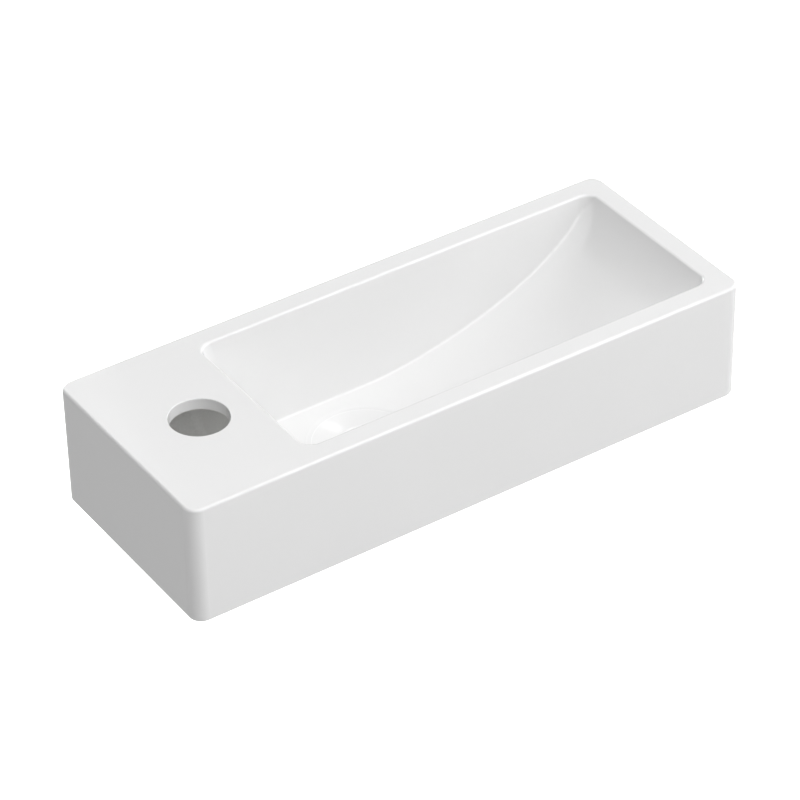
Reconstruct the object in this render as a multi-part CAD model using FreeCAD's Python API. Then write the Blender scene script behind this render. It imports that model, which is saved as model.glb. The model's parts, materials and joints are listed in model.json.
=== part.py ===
"""Wall-hung cloakroom basin with a tap deck, a swept bowl and a click waste.

Millimetres, +Z up. The origin lies on the wall face, midway between the two fixing holes. The wall is at
y = 0, the front of the basin faces -Y and the tap deck is at the -X end.
"""
import FreeCAD
import Part

import math
import os

# China body, outside
BASIN_LENGTH = 375.0
BASIN_DEPTH = 143.5
BASIN_HEIGHT = 77.5
CORNER_RADIUS = 8.0
RIM_EDGE_RADIUS = 1.8
BASE_EDGE_RADIUS = 0.8

# Bowl
RIM_WIDTH = 14.0
END_RIM_WIDTH = 13.4
TAP_DECK_LENGTH = 83.0
FLOOR_ABOVE_BASE = 14.2
BOWL_WALL_SLOPE = 11.7
BOWL_CORNER_RADIUS = 9.0
BOWL_CREASE_RADIUS = 1.6
DRAIN_FROM_DECK = 74.9
FLAT_PAST_DISH = 0.3
RAMP_FOOT_HANDLE = 24.1
RAMP_HEAD_HANDLE = 60.0
RAMP_HEAD_ANGLE = 59.4
RAMP_RUNOUT = 1.45
RAMP_OVERSHOOT = 2.5

# Tap hole and the pockets under the deck and the ramp
TAP_HOLE_RADIUS = 17.5
TAP_HOLE_FROM_BOWL = 33.5
TAP_HOLE_LIP_RADIUS = 0.5
DECK_THICKNESS = 7.5
END_WALL = 9.0
FRONT_WALL = 9.0
BACK_WALL = 10.0
BOWL_WALL = 9.0
RAMP_THICKNESS = 10.0
RAMP_POCKET_START = 42.0
POCKET_CORNER_RADIUS = 6.0
POCKET_LIP_RADIUS = 2.0

# Wall fixings
FIXING_FROM_END = 37.5
FIXING_DROP = 54.0
FIXING_HOLE_RADIUS = 6.0
FIXING_STUD_BORE = 4.3
BUSH_CLEARANCE = 0.2
BUSH_FLANGE_RADIUS = 10.0
BUSH_FLANGE_THICKNESS = 2.0

# Dish in the floor, the waste flange set flush into it and their seals
THROAT_RADIUS = 17.5
THROAT_LIP_RADIUS = 2.0
NECK_WALL = 1.9
NECK_LENGTH = 11.0
NECK_SEAL_THICKNESS = 1.2
FLANGE_OVERLAP = 8.0
FLANGE_THICKNESS = 1.6
DISH_MARGIN = 2.0
DISH_EDGE_SLOPE = 18.0
DISH_LIP_RADIUS = 6.0
RECESS_CLEARANCE = 0.5
SEAT_SLOPE = 15.0
SHOULDER_CLEARANCE = 0.5
GASKET_THICKNESS = 1.2
GASKET_MARGIN = 1.0
GASKET_SET_DOWN = 0.05

# Waste tail, washers and nut
SOCKET_WALL = 1.5
TAIL_WALL = 2.95
TAIL_CLEARANCE = 1.55
TAIL_END_CHAMFER = 0.8
THREAD_CLEARANCE = 0.05
SEAL_CLEARANCE = 0.1
END_CLEARANCE = 0.5
TAPER_WASHER_WIDTH = 9.95
TAPER_WASHER_THICKNESS = 5.0
TAPER_RISE = 3.0
TAPER_TOP_WIDTH = 0.6
TAPER_BEVEL = 2.0
SLIP_WASHER_WIDTH = 6.95
SLIP_WASHER_THICKNESS = 1.2
BACK_NUT_WALL = 4.0
BACK_NUT_THICKNESS = 9.0
BACK_NUT_CHAMFER = 1.5
NUT_CHAMFER_ANGLE = 30.0
RELIEF_BELOW_NUT = 1.0
RELIEF_WIDTH = 2.0
RELIEF_DEPTH = 1.2

# Bridge in the tail and the click pillar on it
BRIDGE_INSET = 2.2
BRIDGE_HEIGHT = 5.0
BRIDGE_ARMS = 3
BRIDGE_ARM_WIDTH = 3.0
PILLAR_RADIUS = 4.5
PILLAR_WALL = 1.9
PILLAR_STUD_RADIUS = 3.0
PILLAR_ABOVE_TRACK = 3.6
COLLAR_MARGIN = 1.0
COLLAR_HEIGHT = 2.0
SPRING_SEAT_HEIGHT = 1.0

# Plug, barrel and spring
PRESS_TRAVEL = 2.0
OPEN_TRAVEL = 7.0
PLUG_SET_DOWN = 5.4
PLUG_CLEARANCE = 0.3
PLUG_CROWN = 0.8
PLUG_EDGE = 1.4
PLUG_EDGE_RADIUS = 0.5
PLUG_SEAL_WIRE = 1.2
PLUG_GROOVE_HEIGHT = 2.8
PLUG_LOWER_THICKNESS = 1.6
PLUG_LOWER_CLEARANCE = 0.9
PLUG_HUB_MARGIN = 2.0
PLUG_HUB_HEIGHT = 1.8
PLUG_STUD_RADIUS = 4.0
PLUG_STUD_ENGAGEMENT = 6.0
LOCK_NUT_WALL = 2.45
LOCK_NUT_THICKNESS = 3.0
LOCK_NUT_CHAMFER = 0.5
BARREL_WALL = 0.75
BARREL_CROWN = 1.0
RUNNING_CLEARANCE = 0.08
SPRING_WIRE_RADIUS = 0.35
SPRING_SIDE_GAP = 0.2
SPRING_END_GAP = 0.05
SPRING_TURNS = 9

# Cam ring, its slanted tracks and the ring that keeps it in the barrel
CAM_RING_WALL = 1.4
CAM_RING_HEIGHT = 3.0
CAM_CLEARANCE = 0.1
CAM_PINS = 2
CAM_PIN_RADIUS = 0.7
CAM_PIN_CLEARANCE = 0.2
CAM_PIN_START_ANGLE = 90.0
CAM_TRACK_DEPTH = 0.9
CAM_TRACK_GAP = 0.15
CAM_TRACK_SECTIONS = 6
CAM_TURN = 45.0
RETAINER_THICKNESS = 0.8
RETAINER_BITE = 0.6
RETAINER_REACH = 0.9
RETAINER_LAND = 0.6
RETAINER_GAP_ANGLE = 40.0

# How far a cutting solid reaches past what it cuts, and how near two points count as one
CUT_MARGIN = 5.0
SAME_PLACE = 1e-4

# Places of the china body and the bowl
RIM_Z = FIXING_DROP
BASE_Z = RIM_Z - BASIN_HEIGHT
FLOOR_Z = BASE_Z + FLOOR_ABOVE_BASE
LEFT_X = -BASIN_LENGTH / 2
RIGHT_X = BASIN_LENGTH / 2
FRONT_Y = -BASIN_DEPTH
MIDDLE_Y = FRONT_Y / 2
BOWL_LEFT = LEFT_X + TAP_DECK_LENGTH
BOWL_RIGHT = RIGHT_X - END_RIM_WIDTH
BOWL_FRONT = FRONT_Y + RIM_WIDTH
BOWL_BACK = -RIM_WIDTH
WALL_TAN = math.tan(math.radians(BOWL_WALL_SLOPE))

# Radii of the waste, from the throat outwards
NECK_RADIUS = THROAT_RADIUS + NECK_WALL
SOCKET_RADIUS = NECK_RADIUS + THREAD_CLEARANCE
TAIL_RADIUS = SOCKET_RADIUS + SOCKET_WALL
TAIL_BORE_RADIUS = TAIL_RADIUS - TAIL_WALL
WASHER_BORE_RADIUS = TAIL_RADIUS + SEAL_CLEARANCE
DRAIN_HOLE_RADIUS = TAIL_RADIUS + TAIL_CLEARANCE
SHOULDER_RADIUS = DRAIN_HOLE_RADIUS - SHOULDER_CLEARANCE
FLANGE_RADIUS = DRAIN_HOLE_RADIUS + FLANGE_OVERLAP
RECESS_RADIUS = FLANGE_RADIUS + RECESS_CLEARANCE
DISH_RADIUS = RECESS_RADIUS + DISH_MARGIN
DISH_BALL_RADIUS = DISH_RADIUS / math.sin(math.radians(DISH_EDGE_SLOPE))
TAP_AXIS = FreeCAD.Vector(BOWL_LEFT - TAP_HOLE_FROM_BOWL, MIDDLE_Y, 0)
DRAIN_AXIS = FreeCAD.Vector(BOWL_LEFT + DRAIN_FROM_DECK, MIDDLE_Y, 0)
RAMP_START = DRAIN_AXIS.x + DISH_RADIUS + FLAT_PAST_DISH

# Radii of the plug, the pillar and what runs on it
PLUG_RADIUS = THROAT_RADIUS - PLUG_CLEARANCE
PLUG_SEAL_RADIUS = THROAT_RADIUS - THREAD_CLEARANCE - PLUG_SEAL_WIRE
COLLAR_RADIUS = PILLAR_RADIUS + COLLAR_MARGIN
SPRING_BORE_RADIUS = PILLAR_RADIUS - PILLAR_WALL
SPRING_RADIUS = SPRING_BORE_RADIUS - SPRING_SIDE_GAP - SPRING_WIRE_RADIUS
CAM_BORE_RADIUS = PILLAR_RADIUS + CAM_CLEARANCE
CAM_RING_RADIUS = CAM_BORE_RADIUS + CAM_RING_WALL
CAM_TRACK_FLOOR = PILLAR_RADIUS - CAM_TRACK_DEPTH
CAM_POCKET_RADIUS = CAM_RING_RADIUS + CAM_CLEARANCE
RETAINER_RADIUS = CAM_POCKET_RADIUS + RETAINER_BITE
RETAINER_GROOVE_RADIUS = RETAINER_RADIUS + THREAD_CLEARANCE
BARREL_RADIUS = RETAINER_GROOVE_RADIUS + BARREL_WALL

# Levels of the waste, from the bowl's floor down
SEAT_TAN = math.tan(math.radians(SEAT_SLOPE))
DISH_BALL_Z = FLOOR_Z + DISH_BALL_RADIUS * math.cos(math.radians(DISH_EDGE_SLOPE))
FLANGE_EDGE_Z = DISH_BALL_Z - math.sqrt(DISH_BALL_RADIUS ** 2 - FLANGE_RADIUS ** 2)
FLANGE_LOW_Z = FLANGE_EDGE_Z - FLANGE_THICKNESS
SHOULDER_Z = FLANGE_LOW_Z - (FLANGE_RADIUS - SHOULDER_RADIUS) * SEAT_TAN
NECK_LOW_Z = SHOULDER_Z - NECK_LENGTH
TAIL_TOP_Z = SHOULDER_Z - NECK_SEAL_THICKNESS
TAPER_LOW_Z = BASE_Z - TAPER_WASHER_THICKNESS
SLIP_LOW_Z = TAPER_LOW_Z - SLIP_WASHER_THICKNESS
NUT_LOW_Z = SLIP_LOW_Z - BACK_NUT_THICKNESS
RELIEF_TOP_Z = NUT_LOW_Z - RELIEF_BELOW_NUT
RELIEF_LOW_Z = RELIEF_TOP_Z - RELIEF_WIDTH

# Levels of the plug at rest and of the mechanism that hangs from it, down to the end of the tail
PLUG_TOP_Z = FLOOR_Z - PLUG_SET_DOWN
PLUG_GROOVE_TOP_Z = PLUG_TOP_Z - PLUG_EDGE
PLUG_GROOVE_LOW_Z = PLUG_GROOVE_TOP_Z - PLUG_GROOVE_HEIGHT
PLUG_LOW_Z = PLUG_GROOVE_LOW_Z - PLUG_LOWER_THICKNESS
PLUG_HUB_LOW_Z = PLUG_LOW_Z - PLUG_HUB_HEIGHT
BARREL_TOP_Z = PLUG_HUB_LOW_Z - LOCK_NUT_THICKNESS
PLUG_STUD_LOW_Z = BARREL_TOP_Z - PLUG_STUD_ENGAGEMENT
BARREL_BORE_TOP_Z = PLUG_STUD_LOW_Z - BARREL_CROWN
PILLAR_TOP_Z = BARREL_BORE_TOP_Z - PRESS_TRAVEL - END_CLEARANCE
CAM_PIN_REACH = CAM_PIN_RADIUS + CAM_PIN_CLEARANCE
CAM_TRACK_TOP_Z = PILLAR_TOP_Z - PILLAR_ABOVE_TRACK
CAM_PIN_Z = CAM_TRACK_TOP_Z - CAM_PIN_REACH - OPEN_TRAVEL
CAM_TRACK_LOW_Z = CAM_PIN_Z - PRESS_TRAVEL - CAM_PIN_REACH
CAM_LOW_Z = CAM_PIN_Z - CAM_RING_HEIGHT / 2
CAM_TOP_Z = CAM_LOW_Z + CAM_RING_HEIGHT
RETAINER_TOP_Z = CAM_LOW_Z - CAM_CLEARANCE
RETAINER_LOW_Z = RETAINER_TOP_Z - RETAINER_THICKNESS
BARREL_LOW_Z = RETAINER_LOW_Z - RETAINER_LAND
COLLAR_TOP_Z = BARREL_LOW_Z - PRESS_TRAVEL - END_CLEARANCE
SPRING_FLOOR_Z = COLLAR_TOP_Z + SPRING_SEAT_HEIGHT
BRIDGE_TOP_Z = COLLAR_TOP_Z - COLLAR_HEIGHT
BRIDGE_LOW_Z = BRIDGE_TOP_Z - BRIDGE_HEIGHT
TAIL_END_Z = BRIDGE_LOW_Z - BRIDGE_INSET
CAM_RATE = CAM_TURN / (PRESS_TRAVEL + OPEN_TRAVEL)

ORIGIN = FreeCAD.Vector(0, 0, 0)
RIGHT = FreeCAD.Vector(1, 0, 0)
UP = FreeCAD.Vector(0, 0, 1)


def extruded_outline(edges, first_y, last_y):
    """Solid of an outline drawn in the XZ plane and carried along Y from first_y to last_y."""
    face = Part.Face(Part.Wire(edges))
    face.translate(FreeCAD.Vector(0, first_y, 0))
    return face.extrude(FreeCAD.Vector(0, last_y - first_y, 0))


def polyline(points):
    """Straight edges through (x, z) points of the XZ plane, left open."""
    corners = [FreeCAD.Vector(x, 0, z) for x, z in points]
    return [Part.LineSegment(a, b).toShape() for a, b in zip(corners, corners[1:])]


def turned(points, axis=DRAIN_AXIS):
    """Solid turned from a closed outline of (radius, z) points about an upright axis."""
    face = Part.Face(Part.Wire(polyline(points + points[:1])))
    solid = face.revolve(ORIGIN, UP, 360)
    solid.translate(axis)
    return solid


def ring(inner, outer, low, top, axis=DRAIN_AXIS):
    """Plain upright ring."""
    return turned([(inner, low), (outer, low), (outer, top), (inner, top)], axis)


def rod(radius, low, top, axis=DRAIN_AXIS):
    """Plain upright rod."""
    return Part.makeCylinder(radius, top - low, axis + UP * low)


def hexagon_corner(inner):
    """Distance from the middle of a hexagon to its corners, from the distance to its flats."""
    return inner / math.cos(math.pi / 6)


def hexagon(inner, low, top):
    """Upright hexagonal prism on the drain's axis, from the distance to its flats."""
    corner = FreeCAD.Vector(hexagon_corner(inner), 0, 0)
    turns = [FreeCAD.Rotation(UP, 60 * k) for k in range(7)]
    points = [DRAIN_AXIS + UP * low + turn.multVec(corner) for turn in turns]
    return Part.Face(Part.makePolygon(points)).extrude(UP * (top - low))


def nut(bore, wall, low, top, chamfer):
    """Hexagonal nut with its corners turned down at both ends."""
    corner = hexagon_corner(bore + wall)
    drop = chamfer * math.tan(math.radians(NUT_CHAMFER_ANGLE))
    outline = [(bore, low), (corner - chamfer, low), (corner, low + drop)]
    outline += [(corner, top - drop), (corner - chamfer, top), (bore, top)]
    return hexagon(bore + wall, low, top).common(turned(outline))


def edges_at(solid, test):
    """Edges whose middle point passes the test."""
    found = []
    for edge in solid.Edges:
        middle = edge.valueAt((edge.FirstParameter + edge.LastParameter) / 2)
        if test(edge, middle):
            found.append(edge)
    return found


def climbing_edges(solid):
    """Straight edges that climb from one level to another."""
    return edges_at(solid, lambda edge, middle: edge.Curve.TypeId == "Part::GeomLine"
                    and edge.BoundBox.ZLength > SAME_PLACE)


def edges_at_level(solid, level):
    """Edges whose middle point lies at one height."""
    return edges_at(solid, lambda edge, middle: abs(middle.z - level) < SAME_PLACE)


def circles_at(solid, axis, radius, level):
    """Round edges of one radius about an upright axis, at one height."""
    def matches(edge, middle):
        reach = math.hypot(middle.x - axis.x, middle.y - axis.y)
        return abs(middle.z - level) < SAME_PLACE and abs(reach - radius) < SAME_PLACE

    return edges_at(solid, matches)


def outer_block():
    """Rounded block: upright corners first, then the rim edge and the base edge."""
    block = Part.makeBox(BASIN_LENGTH, BASIN_DEPTH, BASIN_HEIGHT, FreeCAD.Vector(LEFT_X, FRONT_Y, BASE_Z))
    block = block.makeFillet(CORNER_RADIUS, climbing_edges(block))
    block = block.makeFillet(RIM_EDGE_RADIUS, edges_at_level(block, RIM_Z))
    return block.makeFillet(BASE_EDGE_RADIUS, edges_at_level(block, BASE_Z))


def bowl_outline(level):
    """Ends and sides of the bowl's sloping walls at one height: low x, high x, low y, high y."""
    out = (level - RIM_Z) * WALL_TAN
    return BOWL_LEFT - out, BOWL_RIGHT + out, BOWL_FRONT - out, BOWL_BACK + out


def bowl_walls():
    """Tapered block between the four bowl walls, with its sloping corners rounded."""
    low = FLOOR_Z - CUT_MARGIN
    top = RIM_Z + CUT_MARGIN
    left, right, front, back = bowl_outline(low)
    top_left, top_right, top_front, top_back = bowl_outline(top)
    block = Part.makeWedge(left, low, -back, -top_back, top_left, right, top, -front, -top_front, top_right)
    block.rotate(ORIGIN, RIGHT, 90)
    return block.makeFillet(BOWL_CORNER_RADIUS, climbing_edges(block))


def ramp_curve(drop):
    """Sweep of the floor: level at its foot, steep where it runs up past the right rim."""
    turn = math.radians(RAMP_HEAD_ANGLE)
    end = (BOWL_RIGHT + RAMP_RUNOUT, RIM_Z + RAMP_OVERSHOOT)
    poles = [
        (RAMP_START, FLOOR_Z),
        (RAMP_START + RAMP_FOOT_HANDLE, FLOOR_Z),
        (end[0] - RAMP_HEAD_HANDLE * math.cos(turn), end[1] - RAMP_HEAD_HANDLE * math.sin(turn)),
        end,
    ]
    curve = Part.BezierCurve()
    curve.setPoles([FreeCAD.Vector(x, 0, z - drop) for x, z in poles])
    return curve


def bowl_space():
    """Water space of the bowl: between the walls, above the floor, with a rounded crease all round."""
    curve = ramp_curve(0)
    end = curve.getPole(4)
    start_x = BOWL_LEFT - CUT_MARGIN
    top = RIM_Z + 2 * CUT_MARGIN
    floor = polyline([(start_x, FLOOR_Z), (RAMP_START, FLOOR_Z)]) + [curve.toShape()]
    above = polyline([(end.x, end.z), (end.x, top), (start_x, top), (start_x, FLOOR_Z)])
    space = bowl_walls().common(extruded_outline(floor + above, FRONT_Y, 0))
    floor_sheet = Part.Wire(floor).extrude(FreeCAD.Vector(0, FRONT_Y, 0))

    def on_crease(edge, middle):
        on_floor = Part.Vertex(middle).distToShape(floor_sheet)[0] < SAME_PLACE
        at_ramp_foot = abs(middle.x - RAMP_START) < SAME_PLACE and abs(middle.z - FLOOR_Z) < SAME_PLACE
        return on_floor and not at_ramp_foot

    return space.makeFillet(BOWL_CREASE_RADIUS, edges_at(space, on_crease))


def deck_pocket():
    """Hollow under the tap deck, open below."""
    slope_gap = BOWL_WALL / math.cos(math.radians(BOWL_WALL_SLOPE))
    ceiling = RIM_Z - DECK_THICKNESS
    inner = LEFT_X + END_WALL
    low = BASE_Z - CUT_MARGIN
    near_top = BOWL_LEFT - slope_gap + DECK_THICKNESS * WALL_TAN
    near_low = BOWL_LEFT - slope_gap + (RIM_Z - low) * WALL_TAN
    outline = [(inner, low), (inner, ceiling), (near_top, ceiling), (near_low, low), (inner, low)]
    pocket = extruded_outline(polyline(outline), FRONT_Y + FRONT_WALL, -BACK_WALL)
    soft = edges_at(pocket, lambda edge, middle: middle.z > low + SAME_PLACE)
    return pocket.makeFillet(POCKET_CORNER_RADIUS, soft)


def ramp_pocket():
    """Hollow under the ramp: its ceiling is the ramp's curve, one ramp thickness lower."""
    curve = ramp_curve(RAMP_THICKNESS)
    low = BASE_Z - CUT_MARGIN
    start_x = RAMP_START + RAMP_POCKET_START
    wall_x = RIGHT_X - END_WALL
    end = curve.getPole(4)
    foot = curve.getPole(1)
    sides = polyline([(end.x, end.z), (RIGHT_X, end.z), (RIGHT_X, low), (foot.x, low), (foot.x, foot.z)])
    under_ramp = extruded_outline([curve.toShape()] + sides, FRONT_Y + FRONT_WALL, -BACK_WALL)
    reach = Part.makeBox(wall_x - start_x, BASIN_DEPTH, BASIN_HEIGHT + CUT_MARGIN)
    reach.translate(FreeCAD.Vector(start_x, FRONT_Y, low))
    pocket = under_ramp.common(reach)
    return pocket.makeFillet(POCKET_CORNER_RADIUS, climbing_edges(pocket))


def dish_ball():
    """Ball whose underside is the dish, at the named slope where it meets the floor."""
    return Part.makeSphere(DISH_BALL_RADIUS, DRAIN_AXIS + UP * DISH_BALL_Z)


def dish_z(radius):
    """Height of the dish at a radius from the drain."""
    return DISH_BALL_Z - math.sqrt(DISH_BALL_RADIUS ** 2 - radius ** 2)


def seat_z(radius):
    """Height of the conical flange seat in the floor at a radius from the drain."""
    return FLANGE_LOW_Z - GASKET_THICKNESS - (FLANGE_RADIUS - radius) * SEAT_TAN


def fixing_places():
    """The two wall fixing centres."""
    return [RIGHT * (LEFT_X + FIXING_FROM_END), RIGHT * (RIGHT_X - FIXING_FROM_END)]


def bowl_mouth(body):
    """Edges where the bowl opens at the rim."""
    def matches(edge, middle):
        in_length = BOWL_LEFT - SAME_PLACE < middle.x < BOWL_RIGHT + SAME_PLACE
        in_depth = BOWL_FRONT - SAME_PLACE < middle.y < BOWL_BACK + SAME_PLACE
        return abs(middle.z - RIM_Z) < SAME_PLACE and in_length and in_depth

    return edges_at(body, matches)


def pocket_mouths(body):
    """Edges where the two pockets open at the base."""
    def matches(edge, middle):
        in_length = LEFT_X + END_WALL - SAME_PLACE < middle.x < RIGHT_X - END_WALL + SAME_PLACE
        in_depth = FRONT_Y + FRONT_WALL - SAME_PLACE < middle.y < SAME_PLACE - BACK_WALL
        return abs(middle.z - BASE_Z) < SAME_PLACE and in_length and in_depth

    return edges_at(body, matches)


def basin_body():
    """Glazed china: block, bowl, pockets, dish, drain recess, tap hole and fixing holes, with soft edges."""
    body = outer_block().cut(bowl_space())
    body = body.makeFillet(RIM_EDGE_RADIUS, bowl_mouth(body))
    body = body.cut(deck_pocket()).cut(ramp_pocket())
    body = body.makeFillet(POCKET_LIP_RADIUS, pocket_mouths(body))
    body = body.cut(dish_ball().common(rod(DISH_RADIUS, BASE_Z, FLOOR_Z + CUT_MARGIN)))
    body = body.makeFillet(DISH_LIP_RADIUS, circles_at(body, DRAIN_AXIS, DISH_RADIUS, FLOOR_Z))
    recess = [(0, FLOOR_Z + CUT_MARGIN), (RECESS_RADIUS, FLOOR_Z + CUT_MARGIN)]
    recess += [(RECESS_RADIUS, seat_z(RECESS_RADIUS)), (DRAIN_HOLE_RADIUS, seat_z(DRAIN_HOLE_RADIUS))]
    recess += [(DRAIN_HOLE_RADIUS, BASE_Z - CUT_MARGIN), (0, BASE_Z - CUT_MARGIN)]
    body = body.cut(turned(recess))
    body = body.cut(rod(TAP_HOLE_RADIUS, BASE_Z, RIM_Z + CUT_MARGIN, TAP_AXIS))
    for place in fixing_places():
        start = place + FreeCAD.Vector(0, CUT_MARGIN, 0)
        depth = BACK_WALL + 2 * CUT_MARGIN
        body = body.cut(Part.makeCylinder(FIXING_HOLE_RADIUS, depth, start, FreeCAD.Vector(0, -1, 0)))
    return body.makeFillet(TAP_HOLE_LIP_RADIUS, circles_at(body, TAP_AXIS, TAP_HOLE_RADIUS, RIM_Z))


def fixing_bushes():
    """Flanged sleeve in each fixing hole, flush with the wall face."""
    sleeve_radius = FIXING_HOLE_RADIUS - BUSH_CLEARANCE
    length = BACK_WALL + BUSH_FLANGE_THICKNESS
    outline = [(FIXING_STUD_BORE, 0), (sleeve_radius, 0), (sleeve_radius, BACK_WALL)]
    outline += [(BUSH_FLANGE_RADIUS, BACK_WALL), (BUSH_FLANGE_RADIUS, length), (FIXING_STUD_BORE, length)]
    bushes = []
    for place in fixing_places():
        bush = turned(outline, ORIGIN)
        bush.rotate(ORIGIN, RIGHT, 90)
        bush.translate(place)
        bushes.append(bush)
    return Part.makeCompound(bushes)


def waste_flange():
    """Dished flange with a threaded neck below it and a rounded throat."""
    outline = [(THROAT_RADIUS, FLOOR_Z), (FLANGE_RADIUS, FLOOR_Z), (FLANGE_RADIUS, FLANGE_LOW_Z)]
    outline += [(SHOULDER_RADIUS, SHOULDER_Z), (NECK_RADIUS, SHOULDER_Z)]
    outline += [(NECK_RADIUS, NECK_LOW_Z), (THROAT_RADIUS, NECK_LOW_Z)]
    flange = turned(outline).cut(dish_ball())

    def at_throat_top(edge, middle):
        reach = math.hypot(middle.x - DRAIN_AXIS.x, middle.y - DRAIN_AXIS.y)
        return edge.isClosed() and middle.z > SHOULDER_Z and abs(reach - THROAT_RADIUS) < SAME_PLACE

    return flange.makeFillet(THROAT_LIP_RADIUS, edges_at(flange, at_throat_top))


def flange_gasket():
    """Conical ring between the flange and its seat, turned up round the flange's edge to close that gap."""
    inner = DRAIN_HOLE_RADIUS + GASKET_MARGIN
    lip_inner = FLANGE_RADIUS + THREAD_CLEARANCE
    lip_outer = RECESS_RADIUS - THREAD_CLEARANCE
    outline = [(inner, seat_z(inner)), (lip_outer, seat_z(lip_outer))]
    outline += [(r, dish_z(r) - GASKET_SET_DOWN) for r in (lip_outer, lip_inner)]
    outline += [(r, seat_z(r) + GASKET_THICKNESS) for r in (lip_inner, inner)]
    return turned(outline)


def neck_seal():
    """Flat ring between the flange's shoulder and the top of the tail."""
    return ring(NECK_RADIUS + SEAL_CLEARANCE, TAIL_RADIUS - SEAL_CLEARANCE, TAIL_TOP_Z, SHOULDER_Z)


def waste_tail():
    """Tail tube with a socket for the neck, a thread relief under the nut, and a bridge of arms and a hub."""
    socket_low = NECK_LOW_Z - END_CLEARANCE
    relief = TAIL_RADIUS - RELIEF_DEPTH
    outline = [(SOCKET_RADIUS, TAIL_TOP_Z), (TAIL_RADIUS, TAIL_TOP_Z), (TAIL_RADIUS, RELIEF_TOP_Z)]
    outline += [(relief, RELIEF_TOP_Z), (relief, RELIEF_LOW_Z), (TAIL_RADIUS, RELIEF_LOW_Z)]
    outline += [(TAIL_RADIUS, TAIL_END_Z + TAIL_END_CHAMFER), (TAIL_RADIUS - TAIL_END_CHAMFER, TAIL_END_Z)]
    outline += [(TAIL_BORE_RADIUS, TAIL_END_Z), (TAIL_BORE_RADIUS, socket_low), (SOCKET_RADIUS, socket_low)]
    tail = turned(outline)
    reach = (TAIL_BORE_RADIUS + TAIL_RADIUS) / 2
    for k in range(BRIDGE_ARMS):
        side = FreeCAD.Vector(0, -BRIDGE_ARM_WIDTH / 2, 0)
        arm = Part.makeBox(reach, BRIDGE_ARM_WIDTH, BRIDGE_HEIGHT, side)
        arm.rotate(ORIGIN, UP, k * 360 / BRIDGE_ARMS)
        arm.translate(DRAIN_AXIS + UP * BRIDGE_LOW_Z)
        tail = tail.fuse(arm)
    tail = tail.fuse(rod(COLLAR_RADIUS, BRIDGE_LOW_Z, BRIDGE_TOP_Z))
    hole = rod(PILLAR_STUD_RADIUS + THREAD_CLEARANCE, BRIDGE_LOW_Z - CUT_MARGIN, BRIDGE_TOP_Z + CUT_MARGIN)
    return tail.cut(hole).removeSplitter()


def taper_washer():
    """Rubber washer whose tapered collar enters the drain hole from below."""
    bore = WASHER_BORE_RADIUS
    outer = bore + TAPER_WASHER_WIDTH
    outline = [(bore, BASE_Z + TAPER_RISE), (bore + TAPER_TOP_WIDTH, BASE_Z + TAPER_RISE)]
    outline += [(DRAIN_HOLE_RADIUS - SEAL_CLEARANCE, BASE_Z), (outer, BASE_Z)]
    outline += [(outer, TAPER_LOW_Z + TAPER_BEVEL), (outer - TAPER_BEVEL, TAPER_LOW_Z), (bore, TAPER_LOW_Z)]
    return turned(outline)


def slip_washer():
    """Thin plastic washer under the rubber one."""
    return ring(WASHER_BORE_RADIUS, WASHER_BORE_RADIUS + SLIP_WASHER_WIDTH, SLIP_LOW_Z, TAPER_LOW_Z)


def back_nut():
    """Nut on the tail that clamps the waste to the china."""
    return nut(TAIL_RADIUS + THREAD_CLEARANCE, BACK_NUT_WALL, NUT_LOW_Z, SLIP_LOW_Z, BACK_NUT_CHAMFER)


def cam_track(pin_angle):
    """Slanted notch that one pin follows: it turns steadily about the pillar as it climbs."""
    lean = math.atan(math.radians(CAM_RATE) * PILLAR_RADIUS)
    side = CAM_PIN_REACH / math.cos(lean)
    outer = PILLAR_RADIUS + END_CLEARANCE
    notch = [(CAM_TRACK_FLOOR, -side), (outer, -side), (outer, side), (CAM_TRACK_FLOOR, side)]
    step = (CAM_TRACK_TOP_Z - CAM_TRACK_LOW_Z) / (CAM_TRACK_SECTIONS - 1)
    sections = []
    for k in range(CAM_TRACK_SECTIONS):
        level = CAM_TRACK_LOW_Z + step * k
        wire = Part.makePolygon([FreeCAD.Vector(x, y, level) for x, y in notch + notch[:1]])
        wire.rotate(ORIGIN, UP, pin_angle + CAM_RATE * (level - CAM_PIN_Z))
        sections.append(wire)
    track = Part.makeLoft(sections, True, False)
    track.translate(DRAIN_AXIS)
    return track


def cam_pin_angles():
    """Places of the pins round the pillar at rest, clear of the seam of the round faces at zero."""
    return [CAM_PIN_START_ANGLE + k * 360 / CAM_PINS for k in range(CAM_PINS)]


def click_pillar():
    """Guide post: stud and hexagonal collar on the bridge, spring bore from the top, cam tracks outside."""
    pillar = rod(PILLAR_RADIUS, COLLAR_TOP_Z, PILLAR_TOP_Z)
    pillar = pillar.fuse(hexagon(COLLAR_RADIUS, BRIDGE_TOP_Z, COLLAR_TOP_Z))
    pillar = pillar.fuse(rod(PILLAR_STUD_RADIUS, BRIDGE_LOW_Z, BRIDGE_TOP_Z))
    pillar = pillar.cut(rod(SPRING_BORE_RADIUS, SPRING_FLOOR_Z, PILLAR_TOP_Z + CUT_MARGIN))
    for angle in cam_pin_angles():
        pillar = pillar.cut(cam_track(angle))
    return pillar.removeSplitter()


def click_spring():
    """Compression spring from the pillar's floor to the crown of the barrel."""
    margin = SPRING_WIRE_RADIUS + SPRING_END_GAP
    start = SPRING_FLOOR_Z + margin
    height = BARREL_BORE_TOP_Z - margin - start
    path = Part.makeHelix(height / SPRING_TURNS, height, SPRING_RADIUS)
    section = Part.makeCircle(SPRING_WIRE_RADIUS, RIGHT * SPRING_RADIUS, FreeCAD.Vector(0, 1, 0))
    spring = Part.Wire(path).makePipeShell([Part.Wire(section)], True, True)
    spring.translate(DRAIN_AXIS + UP * start)
    return spring


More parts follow.
